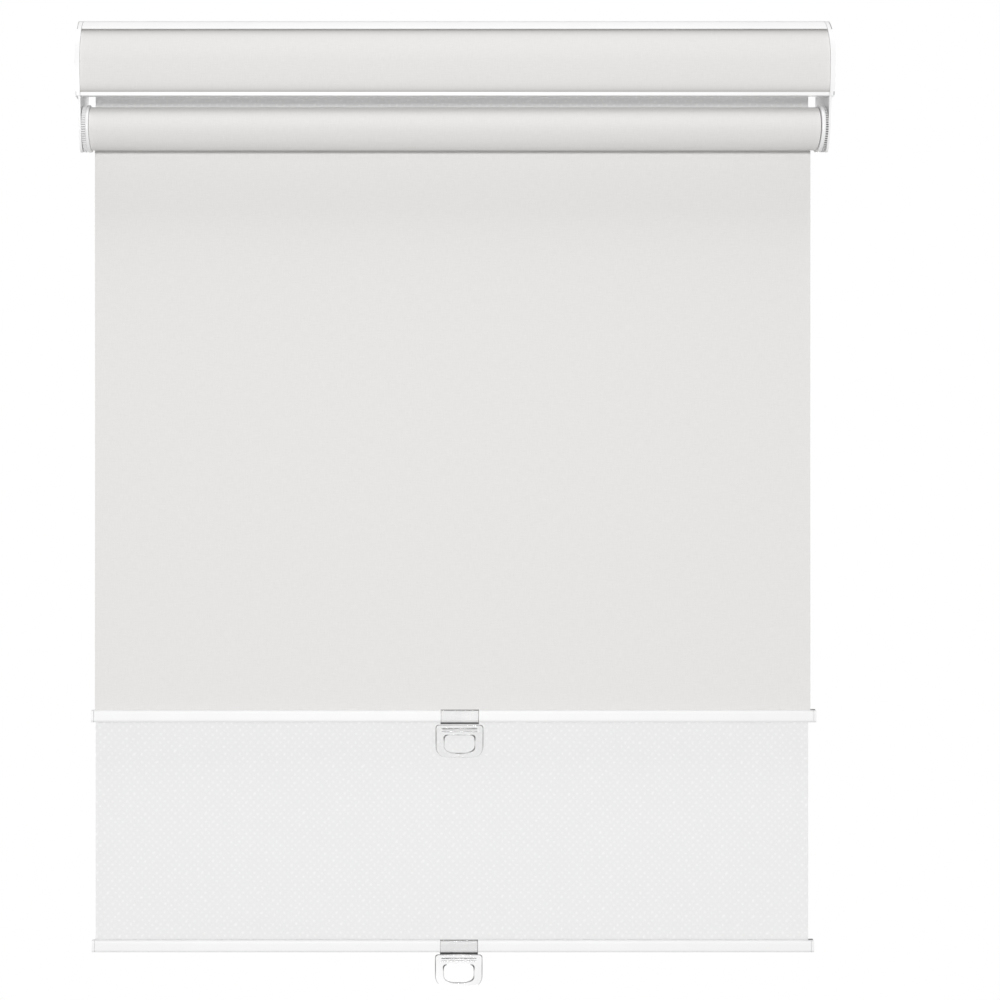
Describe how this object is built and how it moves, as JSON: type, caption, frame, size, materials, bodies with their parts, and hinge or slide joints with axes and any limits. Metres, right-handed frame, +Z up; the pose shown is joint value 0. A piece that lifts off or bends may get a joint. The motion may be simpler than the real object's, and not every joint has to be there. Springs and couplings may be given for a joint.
{
  "type": "double roller blind",
  "caption": "Cordless double roller blind with a convex fabric-faced valance, a bare lower roller, two hanging fabrics with hem bars and clear pull handles, on two end brackets.",
  "frame": {"origin": "on the wall plane, at the middle of the width, level with the top of the brackets", "axes": "+X to the right seen from the room, +Y towards the wall, +Z up"},
  "size_m": [0.864, 0.086, 1.1231],
  "materials": {
    "bracket_metal": "white powder coat on bent steel, satin",
    "white_metal": "white powder coat on extruded aluminium, satin",
    "white_plastic": "white moulded plastic, fine satin",
    "nylon": "off-white nylon, dull",
    "clear_plastic": "clear moulded plastic, glossy",
    "tube_metal": "mill-finish aluminium tube",
    "spring_steel": "plain spring steel",
    "insert_fabric": "off-white linen-look fabric",
    "front_fabric": "off-white linen-look weave, dense",
    "rear_fabric": "pale light-filtering weave, mottled"
  },
  "bodies": {
    "root": {"left_bracket": "bracket_metal", "right_bracket": "bracket_metal", "fascia": "white_metal", "fascia_insert": "insert_fabric", "left_end_cap": "white_plastic", "right_end_cap": "white_plastic", "front_idle_socket": "nylon", "front_spring_socket": "nylon", "front_spring_mandrel": "nylon", "front_torsion_spring": "spring_steel", "rear_idle_socket": "nylon", "rear_spring_socket": "nylon", "rear_spring_mandrel": "nylon", "rear_torsion_spring": "spring_steel"},
    "front_roller": {"front_roller_tube": "tube_metal", "front_fabric_roll": "front_fabric", "front_drive_plug": "nylon", "front_idle_plug": "nylon"},
    "front_blind": {"front_fabric_panel": "front_fabric", "front_hem_bar": "white_metal", "front_hem_spline": "nylon", "front_hem_cap_left": "white_plastic", "front_hem_cap_right": "white_plastic", "front_pull_handle": "clear_plastic"},
    "front_tension": {"front_tension_wheel": "white_plastic"},
    "front_idle": {"front_idle_wheel": "white_plastic"},
    "front_pin": {"front_idle_pin": "spring_steel"},
    "rear_roller": {"rear_roller_tube": "tube_metal", "rear_fabric_roll": "rear_fabric", "rear_drive_plug": "nylon", "rear_idle_plug": "nylon"},
    "rear_blind": {"rear_fabric_panel": "rear_fabric", "rear_hem_bar": "white_metal", "rear_hem_spline": "nylon", "rear_hem_cap_left": "white_plastic", "rear_hem_cap_right": "white_plastic", "rear_pull_handle": "clear_plastic"},
    "rear_tension": {"rear_tension_wheel": "white_plastic"},
    "rear_idle": {"rear_idle_wheel": "white_plastic"},
    "rear_pin": {"rear_idle_pin": "spring_steel"}
  },
  "joints": [
    {"name": "front_blind_travel", "type": "slide", "parent": "root", "child": "front_blind", "axis": [0, 0, 1], "range_m": [-1.019, 0.625], "deforming": ["front_fabric_panel"]},
    {"name": "front_roller_spin", "type": "hinge", "parent": "root", "child": "front_roller", "pos_m": [0, -0.055, -0.1236], "axis": [1, 0, 0], "range_deg": [-2370, 1455]},
    {"name": "front_tension_turn", "type": "hinge", "parent": "root", "child": "front_tension", "pos_m": [0, -0.055, -0.1236], "axis": [1, 0, 0], "range_deg": [-1350, 1350]},
    {"name": "front_idle_turn", "type": "hinge", "parent": "root", "child": "front_idle", "pos_m": [0, -0.055, -0.1236], "axis": [1, 0, 0], "range_deg": [0, 990]},
    {"name": "front_pin_slide", "type": "slide", "parent": "root", "child": "front_pin", "axis": [1, 0, 0], "range_m": [0, 0.0055]},
    {"name": "rear_blind_travel", "type": "slide", "parent": "root", "child": "rear_blind", "axis": [0, 0, 1], "range_m": [-0.747, 0.956], "deforming": ["rear_fabric_panel"]},
    {"name": "rear_roller_spin", "type": "hinge", "parent": "root", "child": "rear_roller", "pos_m": [0, -0.0362, -0.05], "axis": [1, 0, 0], "range_deg": [-1935, 2475]},
    {"name": "rear_tension_turn", "type": "hinge", "parent": "root", "child": "rear_tension", "pos_m": [0, -0.0362, -0.05], "axis": [1, 0, 0], "range_deg": [-1350, 1350]},
    {"name": "rear_idle_turn", "type": "hinge", "parent": "root", "child": "rear_idle", "pos_m": [0, -0.0362, -0.05], "axis": [1, 0, 0], "range_deg": [0, 990]},
    {"name": "rear_pin_slide", "type": "slide", "parent": "root", "child": "rear_pin", "axis": [1, 0, 0], "range_m": [0, 0.0055]}
  ],
  "couplings": [
    {"joint": "front_roller_spin", "follows": "front_blind_travel", "rad_per_m": 40.486},
    {"joint": "front_idle_turn", "follows": "front_pin_slide", "rad_per_m": 3141.6},
    {"joint": "rear_roller_spin", "follows": "rear_blind_travel", "rad_per_m": 45.045},
    {"joint": "rear_idle_turn", "follows": "rear_pin_slide", "rad_per_m": 3141.6}
  ]
}
